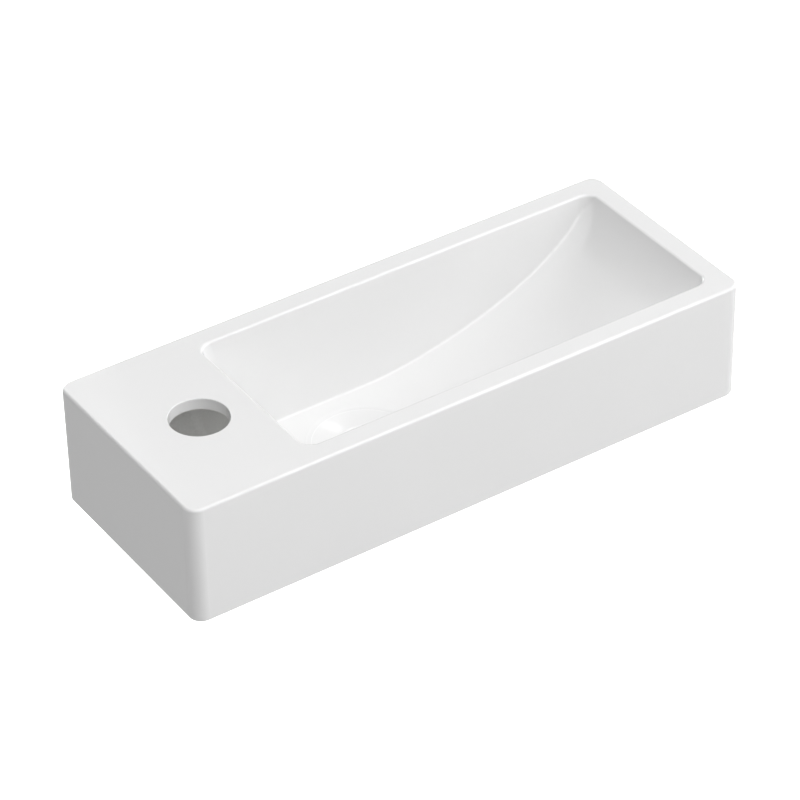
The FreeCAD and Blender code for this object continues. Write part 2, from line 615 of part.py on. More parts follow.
def click_barrel():
    """Sleeve on the pillar, tapped at the top for the plug, with a pocket for the cam ring at its foot."""
    tapped = PLUG_STUD_RADIUS + THREAD_CLEARANCE
    bore = PILLAR_RADIUS + RUNNING_CLEARANCE
    groove_low = RETAINER_LOW_Z - THREAD_CLEARANCE
    groove_top = RETAINER_TOP_Z + THREAD_CLEARANCE
    groove = RETAINER_GROOVE_RADIUS
    cam_shoulder = CAM_TOP_Z + CAM_CLEARANCE
    outline = [(tapped, BARREL_TOP_Z), (BARREL_RADIUS, BARREL_TOP_Z), (BARREL_RADIUS, BARREL_LOW_Z)]
    outline += [(CAM_POCKET_RADIUS, BARREL_LOW_Z), (CAM_POCKET_RADIUS, groove_low), (groove, groove_low)]
    outline += [(groove, groove_top), (CAM_POCKET_RADIUS, groove_top), (CAM_POCKET_RADIUS, cam_shoulder)]
    outline += [(bore, cam_shoulder), (bore, BARREL_BORE_TOP_Z), (0, BARREL_BORE_TOP_Z)]
    outline += [(0, PLUG_STUD_LOW_Z), (tapped, PLUG_STUD_LOW_Z)]
    return turned(outline)


def cam_ring():
    """Ring in the barrel's foot with pins that follow the slanted tracks."""
    body = ring(CAM_BORE_RADIUS, CAM_RING_RADIUS, CAM_LOW_Z, CAM_TOP_Z)
    tip = CAM_TRACK_FLOOR + CAM_TRACK_GAP
    root = (CAM_BORE_RADIUS + CAM_RING_RADIUS) / 2
    for angle in cam_pin_angles():
        pin = Part.makeCylinder(CAM_PIN_RADIUS, root - tip, RIGHT * tip, RIGHT)
        pin.rotate(ORIGIN, UP, angle)
        pin.translate(DRAIN_AXIS + UP * CAM_PIN_Z)
        body = body.fuse(pin)
    return body.removeSplitter()


def retaining_ring():
    """Open spring ring in the barrel's groove, under the cam ring."""
    inner = CAM_POCKET_RADIUS - RETAINER_REACH
    body = ring(inner, RETAINER_RADIUS, RETAINER_LOW_Z, RETAINER_TOP_Z)
    half_gap = RETAINER_RADIUS * math.sin(math.radians(RETAINER_GAP_ANGLE / 2))
    slot = Part.makeBox(2 * RETAINER_RADIUS, 2 * half_gap, RETAINER_THICKNESS)
    slot.translate(DRAIN_AXIS + FreeCAD.Vector(0, -half_gap, RETAINER_LOW_Z))
    return body.cut(slot)


def plug_cap():
    """Crowned plug and push button with a seal groove, a hub and a threaded stud."""
    lower = THROAT_RADIUS - PLUG_LOWER_CLEARANCE
    hub = PLUG_STUD_RADIUS + PLUG_HUB_MARGIN
    groove = PLUG_SEAL_RADIUS - PLUG_SEAL_WIRE - SEAL_CLEARANCE
    crown_top = PLUG_TOP_Z + PLUG_CROWN
    outline = [(0, crown_top), (PLUG_RADIUS, crown_top), (PLUG_RADIUS, PLUG_GROOVE_TOP_Z)]
    outline += [(groove, PLUG_GROOVE_TOP_Z), (groove, PLUG_GROOVE_LOW_Z), (lower, PLUG_GROOVE_LOW_Z)]
    outline += [(lower, PLUG_LOW_Z), (hub, PLUG_LOW_Z), (hub, PLUG_HUB_LOW_Z)]
    outline += [(PLUG_STUD_RADIUS, PLUG_HUB_LOW_Z), (PLUG_STUD_RADIUS, PLUG_STUD_LOW_Z), (0, PLUG_STUD_LOW_Z)]
    ball_radius = (PLUG_RADIUS ** 2 + PLUG_CROWN ** 2) / (2 * PLUG_CROWN)
    cap = turned(outline).common(Part.makeSphere(ball_radius, DRAIN_AXIS + UP * (crown_top - ball_radius)))
    return cap.makeFillet(PLUG_EDGE_RADIUS, circles_at(cap, DRAIN_AXIS, PLUG_RADIUS, PLUG_TOP_Z))


def plug_seal():
    """Round rubber ring in the plug's groove, a close fit in the throat."""
    level = (PLUG_GROOVE_TOP_Z + PLUG_GROOVE_LOW_Z) / 2
    return Part.makeTorus(PLUG_SEAL_RADIUS, PLUG_SEAL_WIRE, DRAIN_AXIS + UP * level, UP)


def plug_lock_nut():
    """Thin nut between the plug's hub and the barrel."""
    bore = PLUG_STUD_RADIUS + THREAD_CLEARANCE
    return nut(bore, LOCK_NUT_WALL, BARREL_TOP_Z, PLUG_HUB_LOW_Z, LOCK_NUT_CHAMFER)


PIECES = [
    basin_body, fixing_bushes,
    waste_flange, flange_gasket, neck_seal, waste_tail, taper_washer, slip_washer, back_nut,
    click_pillar, click_spring, click_barrel, cam_ring, retaining_ring,
    plug_cap, plug_seal, plug_lock_nut,
]

os.makedirs("parts", exist_ok=True)
for make in PIECES:
    shape = make()
    shape.exportStep(os.path.join("parts", make.__name__ + ".step"))
    volume = shape.Volume / 1000
    print(make.__name__, "solids", len(shape.Solids), "valid", shape.isValid(), "cm3 %.3f" % volume)
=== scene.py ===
"""Wall-hung cloakroom basin in white vitreous china with a white click waste, in a plain white studio.

Metres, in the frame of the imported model: the wall is at y = 0, the front faces -Y, +Z is up.
"""

import json
import math

import bpy
import numpy as np
from mathutils import Matrix, Vector


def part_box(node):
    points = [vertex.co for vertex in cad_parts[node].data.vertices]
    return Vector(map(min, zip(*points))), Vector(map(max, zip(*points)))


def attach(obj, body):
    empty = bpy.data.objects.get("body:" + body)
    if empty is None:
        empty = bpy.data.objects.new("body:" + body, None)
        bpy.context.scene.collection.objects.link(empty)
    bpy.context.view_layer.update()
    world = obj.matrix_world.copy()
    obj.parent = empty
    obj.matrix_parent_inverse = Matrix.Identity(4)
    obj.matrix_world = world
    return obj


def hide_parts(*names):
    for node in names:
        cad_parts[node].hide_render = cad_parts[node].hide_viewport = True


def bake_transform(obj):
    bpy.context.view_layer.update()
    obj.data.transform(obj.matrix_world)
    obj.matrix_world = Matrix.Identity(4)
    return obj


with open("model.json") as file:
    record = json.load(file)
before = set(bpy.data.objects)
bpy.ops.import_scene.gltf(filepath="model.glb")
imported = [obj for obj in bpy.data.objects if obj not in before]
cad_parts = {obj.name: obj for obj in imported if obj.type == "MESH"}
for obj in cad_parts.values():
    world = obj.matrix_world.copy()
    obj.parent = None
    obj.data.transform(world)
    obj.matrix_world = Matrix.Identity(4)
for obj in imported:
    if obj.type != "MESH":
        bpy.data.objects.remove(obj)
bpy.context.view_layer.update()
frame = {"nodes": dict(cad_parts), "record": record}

MM = 0.001
WHITE = (1.0, 1.0, 1.0, 1.0)

# Camera of the photograph
CAMERA_PLACE = (-0.9345, -1.4816, 1.2540)
CAMERA_AZIMUTH = -33.412
CAMERA_ELEVATION = 36.396
CAMERA_ROLL = -1.09
CAMERA_LENS_MM = 163.52

# Studio: the floor lies well below the basin, which hangs on a wall in use, and glows just past white
FLOOR_DROP = 1.3
FLOOR_HALF = 15.0
FLOOR_GLOW = 1.05
# Strength of the sky above the horizon, low under it and deep under it; heights are those of a unit direction
SKY_ABOVE = 0.0
SKY_LOW = 0.5
SKY_DEEP = 0.98
HORIZON_BLUR = 0.06
DEEP_FROM = -0.4
DEEP_FULL = -0.9
SOFTBOX_AIM = (0.0, -0.07, 0.02)
SOFTBOXES = [
    # name, azimuth from the front towards the right, elevation, distance, width, height, power in watts
    ("front_strip", 0, 51, 2.4, 4.4, 0.9, 34.0),
    ("overhead_softbox", 0, 70, 2.4, 3.2, 3.2, 48.0),
    ("left_softbox", -90, 48, 2.4, 2.0, 2.0, 4.0),
    ("right_softbox", 90, 45, 2.4, 2.0, 2.0, 3.8),
    ("right_back_softbox", 150, 36, 2.4, 1.6, 1.6, 2.1),
    ("back_softbox", 180, 40, 2.4, 1.6, 1.6, 4.8),
    ("right_front_low_softbox", 45, 10, 2.4, 1.6, 1.6, 18.0),
    ("right_low_softbox", 90, 10, 2.4, 1.6, 1.6, 29.0),
    ("back_low_softbox", 180, 10, 2.4, 1.6, 1.6, 29.0),
    ("dish_spark", 126.5, 51.5, 2.4, 0.3, 0.3, 0.85),
]

# Glaze of the china, its slow waves, and where it stops
GLAZE_TONES = ("#E3E3E3", "#DFDFDF")
GLAZE_CLOUD_MM = 70
GLAZE_IOR = 1.6
GLAZE_ROUGHNESS = 0.09
GLAZE_WAVE_MM = 16
GLAZE_WAVE_DEPTH = 0.015 * MM
GLAZE_EDGE = 0.25 * MM
GLAZE_STOP = 0.9 * MM
GLAZE_STOP_AT_WALL = GLAZE_STOP / 4
GLAZE_WOBBLE = 0.6 * MM
GLAZE_WOBBLE_MM = 6

# Bare china, with a grain drawn coarser than the real one so that it shows, and the two pockets that have it
BISQUE_TONES = ("#CECECC", "#BCBCBA")
BISQUE_ROUGHNESS = 0.8
BISQUE_GRAIN_MM = 1.2
BISQUE_GRAIN_DEPTH = 0.05 * MM
POCKET_INSET = 5.0 * MM
DECK_THICKNESS = 7.0 * MM
FACING_UP = 0.1

# Share of the light that spreads under the surface of a translucent plastic
GLOW_SHARE = 0.3

# Sizes of the waste, as in the part
TAIL_LOW, TAIL_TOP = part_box("waste_tail")
DRAIN_AXIS = (TAIL_LOW + TAIL_TOP) / 2
TAIL_RADIUS = (TAIL_TOP.x - TAIL_LOW.x) / 2
TAIL_BORE = 18.0 * MM
TAIL_END_CHAMFER = 0.8 * MM
TAIL_BORE_CHAMFER = 0.4 * MM
SOCKET_RADIUS = 19.45 * MM
SOCKET_DEPTH = 10.3 * MM
RELIEF_TOP = -39.7 * MM
RELIEF_LOW = -41.7 * MM
THREAD_START = -26.2 * MM
THREAD_RUNOUT = 2.0 * MM
THREAD_PITCH = 2.309 * MM
THREAD_DEPTH = 1.479 * MM
BRIDGE_TOP = -53.8 * MM
BRIDGE_LOW = -58.8 * MM
BRIDGE_ARMS = 3
ARM_HALF_WIDTH = 1.5 * MM
ARM_FLARE = 0.7 * MM
ARM_FLARE_LENGTH = 1.0 * MM
HUB_RADIUS = 5.5 * MM
HUB_BORE = 3.05 * MM
FLANGE_RADIUS = 30.5 * MM
RECESS_RADIUS = 31.0 * MM
DISH_BALL_RADIUS = 106.79 * MM
DISH_BALL_Z = 92.2636 * MM
SEAL_INNER = 23.5 * MM
SEAL_TOP = -11.6785 * MM
SEAL_THICKNESS = 1.2 * MM
SEAL_SLOPE = 15.0
SEAL_SQUEEZE = 0.02 * MM
SEAL_SINK = SEAL_SQUEEZE / 4
SPRING_LOW, SPRING_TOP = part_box("click_spring")
SPRING_WIRE_RADIUS = 0.35 * MM
SPRING_RADIUS = (SPRING_TOP.x - SPRING_LOW.x) / 2 - SPRING_WIRE_RADIUS
SPRING_TURNS = 9
SPRING_CLOSED_TURNS = 0.5
SPRING_CLOSED_PITCH = 0.8 * MM

# Grid of the turned, swept and wound pieces
TURN_STEPS = 180
COIL_STEPS = 48
THREAD_STEPS_PER_PITCH = 12
ARM_STEPS = 24
SECTION_STEPS = 32
SEAL_BEAD_ROWS = 7
SHARP_ANGLE = 35.0


def linear(code):
    """Linear colour of an sRGB hex value."""
    channels = np.array([int(code[k:k + 2], 16) for k in (1, 3, 5)]) / 255
    bent = ((channels + 0.055) / 1.055) ** 2.4
    return (*np.where(channels <= 0.04045, channels / 12.92, bent).tolist(), 1.0)


def per_metre(size_mm):
    """Texture scale at which a pattern repeats about every size_mm."""
    return 1 / (size_mm * MM)


def add_node(tree, kind, inputs=(), **settings):
    """Adds one shader node: settings are its own options, inputs fill its sockets with values or links."""
    node = tree.nodes.new("ShaderNode" + kind)
    for name, value in settings.items():
        setattr(node, name, value)
    for socket, value in dict(inputs).items():
        if isinstance(value, bpy.types.NodeSocket):
            tree.links.new(value, node.inputs[socket])
        else:
            node.inputs[socket].default_value = value
    return node


def new_material(name):
    """Empty node material with its shader and its object coordinates."""
    material = bpy.data.materials.new(name)
    material.use_nodes = True
    tree = material.node_tree
    tree.nodes.clear()
    shader = add_node(tree, "BsdfPrincipled")
    add_node(tree, "OutputMaterial", {"Surface": shader.outputs["BSDF"]})
    place = add_node(tree, "TexCoord").outputs["Object"]
    return material, tree, shader, place


def dress(tree, shader, tone, rough, bump):
    """Gives a shader its tone, its roughness and its fine relief."""
    tree.links.new(tone.outputs["Result"], shader.inputs["Base Color"])
    tree.links.new(rough.outputs["Result"], shader.inputs["Roughness"])
    tree.links.new(bump.outputs["Normal"], shader.inputs["Normal"])


def glazed_vitreous_china():
    """Slip-cast vitreous china under a clear gloss glaze: bright white, with slow waves in the reflections.

    The wall face, the foot and the pockets of the casting stay unglazed: matt pale grey, with a fine grain.
    """
    material, tree, shader, place = new_material("glazed_vitreous_china")
    bare = bare_china(tree, place)
    clouds = add_node(tree, "TexNoise", {"Vector": place, "Scale": per_metre(GLAZE_CLOUD_MM), "Detail": 2.0})
    grain = add_node(tree, "TexNoise", {"Vector": place, "Scale": per_metre(BISQUE_GRAIN_MM), "Detail": 4.0})
    waves = add_node(tree, "TexNoise", {"Vector": place, "Scale": per_metre(GLAZE_WAVE_MM), "Detail": 1.0})
    glaze_light, glaze_dark = map(linear, GLAZE_TONES)
    glaze = add_node(tree, "Mix", {"Factor": clouds.outputs["Fac"], "A": glaze_light, "B": glaze_dark},
                     data_type="RGBA")
    bisque_light, bisque_dark = map(linear, BISQUE_TONES)
    bisque = add_node(tree, "Mix", {"Factor": grain.outputs["Fac"], "A": bisque_light, "B": bisque_dark},
                      data_type="RGBA")
    tone = add_node(tree, "Mix", {"Factor": bare, "A": glaze.outputs["Result"], "B": bisque.outputs["Result"]},
                    data_type="RGBA")
    gloss = add_node(tree, "MapRange", {"Value": bare, "To Min": GLAZE_ROUGHNESS, "To Max": BISQUE_ROUGHNESS})
    slow = add_node(tree, "Bump", {"Height": waves.outputs["Fac"], "Distance": GLAZE_WAVE_DEPTH})
    rough = add_node(tree, "Math", {0: grain.outputs["Fac"], 1: bare}, operation="MULTIPLY")
    bump = add_node(tree, "Bump", {"Height": rough.outputs["Value"], "Distance": BISQUE_GRAIN_DEPTH,
                                   "Normal": slow.outputs["Normal"]})
    dress(tree, shader, tone, gloss, bump)
    shader.inputs["IOR"].default_value = GLAZE_IOR
    return material


def bare_china(tree, place):
    """Where the china has no glaze, 0 to 1: the wall face, the foot, and inside the two pockets.

    A pocket's walls stand inside the outline and don't face up; the deck's underside is their highest point.
    Each limit is a step from 0 to 1, with a soft edge round its level. Those of the pockets are multiplied.
    """
    low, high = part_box("basin_body")
    normal = add_node(tree, "TexCoord").outputs["Normal"]
    at = add_node(tree, "SeparateXYZ", {"Vector": place}).outputs
    upward = add_node(tree, "SeparateXYZ", {"Vector": normal}).outputs["Z"]
    ragged = add_node(tree, "TexNoise", {"Vector": place, "Scale": per_metre(GLAZE_WOBBLE_MM), "Detail": 3.0})
    wobble = {0: ragged.outputs["Fac"], 1: GLAZE_WOBBLE}
    ragged_y = add_node(tree, "Math", {**wobble, 2: at["Y"]}, operation="MULTIPLY_ADD").outputs[0]
    ragged_z = add_node(tree, "Math", {**wobble, 2: at["Z"]}, operation="MULTIPLY_ADD").outputs[0]
    above, below = GLAZE_EDGE, -GLAZE_EDGE
    limits = [
        # value, level, and the side of it that counts: the foot, the wall face, and then the pockets
        (ragged_z, low.z + GLAZE_STOP, below),
        (ragged_y, high.y - GLAZE_STOP_AT_WALL, above),
        (at["X"], low.x + POCKET_INSET, above),
        (at["X"], high.x - POCKET_INSET, below),
        (at["Y"], low.y + POCKET_INSET, above),
        (at["Y"], high.y - POCKET_INSET, below),
        (at["Z"], high.z - DECK_THICKNESS, below),
    ]
    foot, wall, *pocket = [
        add_node(tree, "MapRange", {"Value": value, "From Min": level - edge, "From Max": level + edge})
        for value, level, edge in limits]
    inside = add_node(tree, "Math", {0: upward, 1: FACING_UP}, operation="LESS_THAN")
    for step in pocket:
        inside = add_node(tree, "Math", {0: inside.outputs[0], 1: step.outputs[0]}, operation="MULTIPLY")
    either = add_node(tree, "Math", {0: foot.outputs[0], 1: wall.outputs[0]}, operation="MAXIMUM")
    bare = add_node(tree, "Math", {0: either.outputs[0], 1: inside.outputs[0]}, operation="MAXIMUM")
    return bare.outputs[0]


def coated_or_moulded(name, tones, cloud_mm, gloss, grain_mm, grain_depth_mm, glow_mm=0.0):
    """Material without metal's shine: two close tones in soft clouds, varied gloss, and a fine grain.

    glow_mm is how far light spreads under the surface of a translucent plastic.
    """
    material, tree, shader, place = new_material(name)
    light, dark = map(linear, tones)
    clouds = add_node(tree, "TexNoise", {"Vector": place, "Scale": per_metre(cloud_mm), "Detail": 3.0})
    grain = add_node(tree, "TexNoise", {"Vector": place, "Scale": per_metre(grain_mm), "Detail": 2.0})
    cloud = clouds.outputs["Fac"]
    tone = add_node(tree, "Mix", {"Factor": cloud, "A": light, "B": dark}, data_type="RGBA")
    rough = add_node(tree, "MapRange", {"Value": cloud, "To Min": gloss[0], "To Max": gloss[1]})
    bump = add_node(tree, "Bump", {"Height": grain.outputs["Fac"], "Distance": grain_depth_mm * MM})
    dress(tree, shader, tone, rough, bump)
    if glow_mm:
        shader.inputs["Subsurface Weight"].default_value = GLOW_SHARE
        shader.inputs["Subsurface Scale"].default_value = glow_mm * MM
        shader.inputs["Subsurface Radius"].default_value = (1.0, 1.0, 1.0)
    return material


def turned_metal(name, tones, cloud_mm, gloss, line_mm, line_depth_mm):
    """Metal with tool lines round the drain's axis: rings on flat faces, hoops on round ones, and faint clouds.

    The lines are a sine of the distance from the axis plus the height, so they follow every turned surface.
    They are drawn coarser than real ones, so that they show.
    """
    material, tree, shader, place = new_material(name)
    light, dark = map(linear, tones)
    axis = (DRAIN_AXIS.x, DRAIN_AXIS.y, 0.0)
    off_axis = add_node(tree, "VectorMath", {0: place, 1: axis}, operation="SUBTRACT").outputs[0]
    level = add_node(tree, "VectorMath", {0: off_axis, 1: (1.0, 1.0, 0.0)}, operation="MULTIPLY").outputs[0]
    radius = add_node(tree, "VectorMath", {0: level}, operation="LENGTH").outputs["Value"]
    height = add_node(tree, "SeparateXYZ", {"Vector": place}).outputs["Z"]
    along = add_node(tree, "Math", {0: radius, 1: height}, operation="ADD").outputs[0]
    clouds = add_node(tree, "TexNoise", {"Vector": place, "Scale": per_metre(cloud_mm), "Detail": 3.0})
    cloud = clouds.outputs["Fac"]
    wander = add_node(tree, "Math", {0: cloud, 1: line_mm * MM, 2: along}, operation="MULTIPLY_ADD").outputs[0]
    pace = math.tau * per_metre(line_mm)
    turns = add_node(tree, "Math", {0: wander, 1: pace}, operation="MULTIPLY").outputs[0]
    lines = add_node(tree, "Math", {0: turns}, operation="SINE").outputs[0]
    tone = add_node(tree, "Mix", {"Factor": cloud, "A": light, "B": dark}, data_type="RGBA")
    rough = add_node(tree, "MapRange", {"Value": lines, "From Min": -1.0,
                                        "To Min": gloss[0], "To Max": gloss[1]})
    bump = add_node(tree, "Bump", {"Height": lines, "Distance": line_depth_mm * MM})
    dress(tree, shader, tone, rough, bump)
    shader.inputs["Metallic"].default_value = 1.0
    return material


def make_finishes():
    """One finish for each material slot of the record."""
    return {
        "vitreous_china": glazed_vitreous_china(),
        # Sprayed and stoved coat on brass: china white, glossy, with the faint orange peel of the spray
        "white_enamel": coated_or_moulded(
            "stoved_white_enamel", GLAZE_TONES,
            cloud_mm=40, gloss=(0.08, 0.14), grain_mm=2.2, grain_depth_mm=0.004),
        # Moulded sealing silicone: china white and satin
        "white_silicone": coated_or_moulded(
            "white_sealing_silicone", ("#E2E2E2", "#DEDEDE"),
            cloud_mm=12, gloss=(0.32, 0.45), grain_mm=0.8, grain_depth_mm=0.006),
        # Moulded rubber: near black, matt, with a grey bloom in patches
        "black_rubber": coated_or_moulded(
            "moulded_black_rubber", ("#1B1B1D", "#2C2C2F"),
            cloud_mm=9, gloss=(0.55, 0.78), grain_mm=0.5, grain_depth_mm=0.02),
        # Pressed and dyed sheet fibre: brick red, dull, with visible flecks
        "sealing_fibre": coated_or_moulded(
            "pressed_red_fibre", ("#8C3A2B", "#6B261B"),
            cloud_mm=1.6, gloss=(0.75, 0.92), grain_mm=0.7, grain_depth_mm=0.03),
        # Cut from natural polyethylene sheet: milky and waxy
        "polyethylene": coated_or_moulded(
            "natural_polyethylene", ("#E6E9E7", "#D9DDDB"),
            cloud_mm=10, gloss=(0.34, 0.48), grain_mm=1.0, grain_depth_mm=0.01, glow_mm=1.5),
        # Moulded natural nylon: warm cream, satin
        "nylon": coated_or_moulded(
            "natural_nylon", ("#DEDACB", "#D1CCBB"),
            cloud_mm=8, gloss=(0.38, 0.52), grain_mm=0.9, grain_depth_mm=0.01, glow_mm=1.0),
        # Moulded natural acetal: cool white, slippery satin
        "acetal": coated_or_moulded(
            "natural_acetal", ("#ECECE8", "#E2E2DE"),
            cloud_mm=6, gloss=(0.26, 0.36), grain_mm=0.8, grain_depth_mm=0.005, glow_mm=0.6),
        # Bright chrome plate on turned brass: mirror-like, the tool lines just showing through
        "chromed_brass": turned_metal(
            "chrome_plated_brass", ("#DCDEE0", "#CDD0D3"),
            cloud_mm=14, gloss=(0.05, 0.11), line_mm=0.6, line_depth_mm=0.0015),
        # Bare brass from the lathe: warm yellow, slightly dulled in clouds, with clear tool lines
        "brass": turned_metal(
            "turned_brass", ("#D8B45E", "#B98F45"),
            cloud_mm=11, gloss=(0.2, 0.34), line_mm=0.5, line_depth_mm=0.004),
        # Drawn spring steel: bright grey with lines along the wire
        "spring_steel": turned_metal(
            "drawn_spring_steel", ("#B4B5B8", "#98999D"),
            cloud_mm=4, gloss=(0.22, 0.34), line_mm=0.16, line_depth_mm=0.001),
    }


def quads_between(rows, next_rows):
    """Four-cornered faces from each row of point numbers to the next one, where each row closes on itself."""
    corners = [rows, next_rows, np.roll(next_rows, -1, axis=1), np.roll(rows, -1, axis=1)]
    return np.stack(corners, axis=-1).reshape(-1, 4)


def turned(radius, height):
    """Shell of a closed profile carried round the drain's axis; the radius may also change on the way round.

    At row i and angle a a point is the axis plus radius(i, a) times (cos a, sin a), at height(i). The rows go
    down the outside and up the inside, so that the faces look outwards. The last row joins the first one.
    """
    angle = np.linspace(0, math.tau, TURN_STEPS, endpoint=False)
    radius = np.broadcast_to(radius, (len(height), TURN_STEPS))
    points = np.stack([DRAIN_AXIS.x + radius * np.cos(angle), DRAIN_AXIS.y + radius * np.sin(angle),
                       np.broadcast_to(np.asarray(height)[:, None], radius.shape)], axis=-1)
    index = np.arange(radius.size).reshape(radius.shape)
    return points.reshape(-1, 3), quads_between(index, np.roll(index, -1, axis=0)), []


def swept(points):
    """Shell of a section carried along a way, one row of points for each step, with a cap at both ends."""
    index = np.arange(points[..., 0].size).reshape(points.shape[:2])
    return points.reshape(-1, 3), quads_between(index[:-1], index[1:]), [index[0], index[-1][::-1]]


def turned_profile(profile):
    """Shell of a plain turned ring, from its closed profile of (radius, height) rows."""
    profile = np.asarray(profile)
    return turned(profile[:, :1], profile[:, 1])


def tail_tube():
    """Tube with a one-start pipe thread outside, a relief groove, chamfered ends and a socket at the top.

    The thread takes half its depth times (1 - cos phase) off the crest radius. The phase grows by one turn for
    each pitch of height and falls by one turn round the axis, and the depth fades out below the socket.
    """
    angle = np.linspace(0, math.tau, TURN_STEPS, endpoint=False)

    def thread(top, low):
        """Radius and height of the thread's rows from one height down to another."""
        rows = int(round((top - low) / THREAD_PITCH * THREAD_STEPS_PER_PITCH))
        height = np.linspace(top, low, rows)
        depth = THREAD_DEPTH * np.clip((THREAD_START - height) / THREAD_RUNOUT, 0, 1)
        phase = math.tau * height[:, None] / THREAD_PITCH - angle
        chamfer = np.clip(TAIL_END_CHAMFER - (height - TAIL_LOW.z), 0, None)
        cut = depth[:, None] * (1 - np.cos(phase)) / 2
        return TAIL_RADIUS - np.maximum(cut, chamfer[:, None]), height

    upper, upper_height = thread(THREAD_START, RELIEF_TOP)
    lower, lower_height = thread(RELIEF_LOW, TAIL_LOW.z)
    root = np.full((2, TURN_STEPS), TAIL_RADIUS - THREAD_DEPTH)
    socket_low = TAIL_TOP.z - SOCKET_DEPTH
    inner = [(TAIL_BORE + TAIL_BORE_CHAMFER, TAIL_LOW.z), (TAIL_BORE, TAIL_LOW.z + TAIL_BORE_CHAMFER),
             (TAIL_BORE, socket_low), (SOCKET_RADIUS, socket_low),
             (SOCKET_RADIUS, TAIL_TOP.z), (TAIL_RADIUS, TAIL_TOP.z)]
    inner_radius, inner_height = np.array(inner).T
    radius = np.vstack([upper, root, lower, np.repeat(inner_radius[:, None], TURN_STEPS, axis=1)])
    height = np.concatenate([upper_height, [RELIEF_TOP, RELIEF_LOW], lower_height, inner_height])
    return turned(radius, height)


def rounded_section(half_width, half_height):
    """Cross-section of a casting, clockwise: an oval of the fourth power, a box with well rounded corners."""
    angle = np.linspace(math.tau, 0, SECTION_STEPS, endpoint=False)
    c, s = np.cos(angle), np.sin(angle)
    return half_width * np.sign(c) * np.sqrt(abs(c)), half_height * np.sign(s) * np.sqrt(abs(s))


def bridge_hub():
    """Ring in the middle of the bridge: a rounded section carried round the axis."""
    across, up = rounded_section((HUB_RADIUS - HUB_BORE) / 2, (BRIDGE_TOP - BRIDGE_LOW) / 2)
    middle_radius, middle_height = (HUB_RADIUS + HUB_BORE) / 2, (BRIDGE_TOP + BRIDGE_LOW) / 2
    return turned_profile(np.column_stack([middle_radius + across, middle_height + up]))


def bridge_arm(turn):
    """One arm of the bridge: a rounded section carried outwards from the hub into the tube, wider at both ends.

    The half width is the plain one plus two flares, each of which falls off by e for each flare length.
    """
    inner, outer = (HUB_RADIUS + HUB_BORE) / 2, (TAIL_BORE + TAIL_RADIUS - THREAD_DEPTH) / 2
    along = np.linspace(inner, outer, ARM_STEPS)[:, None]
    flare = np.exp((HUB_RADIUS - along) / ARM_FLARE_LENGTH) + np.exp((along - TAIL_BORE) / ARM_FLARE_LENGTH)
    across, up = rounded_section(ARM_HALF_WIDTH, (BRIDGE_TOP - BRIDGE_LOW) / 2)
    across = across * (1 + np.minimum(flare, 1) * ARM_FLARE / ARM_HALF_WIDTH)
    cos, sin = math.cos(turn), math.sin(turn)
    x = DRAIN_AXIS.x + along * cos - across * sin
    y = DRAIN_AXIS.y + along * sin + across * cos
    z = np.broadcast_to((BRIDGE_TOP + BRIDGE_LOW) / 2 + up, across.shape)
    return swept(np.stack([x, y, z], axis=-1))


def wound_spring():
    """Compression spring of round wire with a closed turn at each end.

    At turn t the middle of the wire is at angle 2 pi t on the spring's circle. The pitch is the closed one at
    both ends and rises by a smooth step, 3 u^2 - 2 u^3 over one turn, to the one that fills the height. The
    wire's circle is spanned by the outward direction and the one square to that and to the wire.
    """
    turn = np.linspace(0, SPRING_TURNS, SPRING_TURNS * COIL_STEPS + 1)
    middle = (turn[1:] + turn[:-1]) / 2
    ramp = np.clip(np.minimum(middle, SPRING_TURNS - middle) - SPRING_CLOSED_TURNS, 0, 1)
    opened = ramp ** 2 * (3 - 2 * ramp)
    rise = SPRING_TOP.z - SPRING_LOW.z - 2 * SPRING_WIRE_RADIUS
    spare = rise - SPRING_TURNS * SPRING_CLOSED_PITCH
    climb = (SPRING_CLOSED_PITCH + spare / SPRING_TURNS * opened / opened.mean()) / COIL_STEPS
    height = SPRING_LOW.z + SPRING_WIRE_RADIUS + np.concatenate([[0.0], np.cumsum(climb)])
    angle = math.tau * turn
    outward = np.stack([np.cos(angle), np.sin(angle), np.zeros_like(angle)], axis=-1)
    along = np.stack([-np.sin(angle), np.cos(angle), np.gradient(height, angle) / SPRING_RADIUS], axis=-1)
    square = np.cross(outward, along)
    square /= np.linalg.norm(square, axis=-1, keepdims=True)
    axis = np.stack(np.broadcast_arrays(DRAIN_AXIS.x, DRAIN_AXIS.y, height), axis=-1)
    centre = axis + SPRING_RADIUS * outward
    around = np.linspace(0, math.tau, SECTION_STEPS, endpoint=False)[None, :, None]
    ring = np.cos(around) * outward[:, None] + np.sin(around) * square[:, None]
    return swept(centre[:, None] + SPRING_WIRE_RADIUS * ring)


def squeezed_seal():
    """Seal of the flange: a conical washer under it, and a bead that fills the seam round it.

    Heights of the washer fall towards the axis by the seat's slope; the bead's top lies on the dish's ball.
    """
    slope = math.tan(math.radians(SEAL_SLOPE))
    bead_inner, bead_outer = FLANGE_RADIUS - SEAL_SQUEEZE, RECESS_RADIUS + SEAL_SQUEEZE
    bead = np.linspace(bead_inner, bead_outer, SEAL_BEAD_ROWS)
    bead_top = DISH_BALL_Z - np.sqrt(DISH_BALL_RADIUS ** 2 - bead ** 2) - SEAL_SINK

    def washer_top(radius):
        """Height of the washer's upper face at a radius."""
        return SEAL_TOP - (FLANGE_RADIUS - radius) * slope

    profile = [(SEAL_INNER, washer_top(SEAL_INNER)), (bead_inner, washer_top(bead_inner))]
    profile += list(zip(bead, bead_top))
    profile += [(bead_outer, washer_top(bead_outer) - SEAL_THICKNESS),
                (SEAL_INNER, washer_top(SEAL_INNER) - SEAL_THICKNESS)]
    return turned_profile(profile)


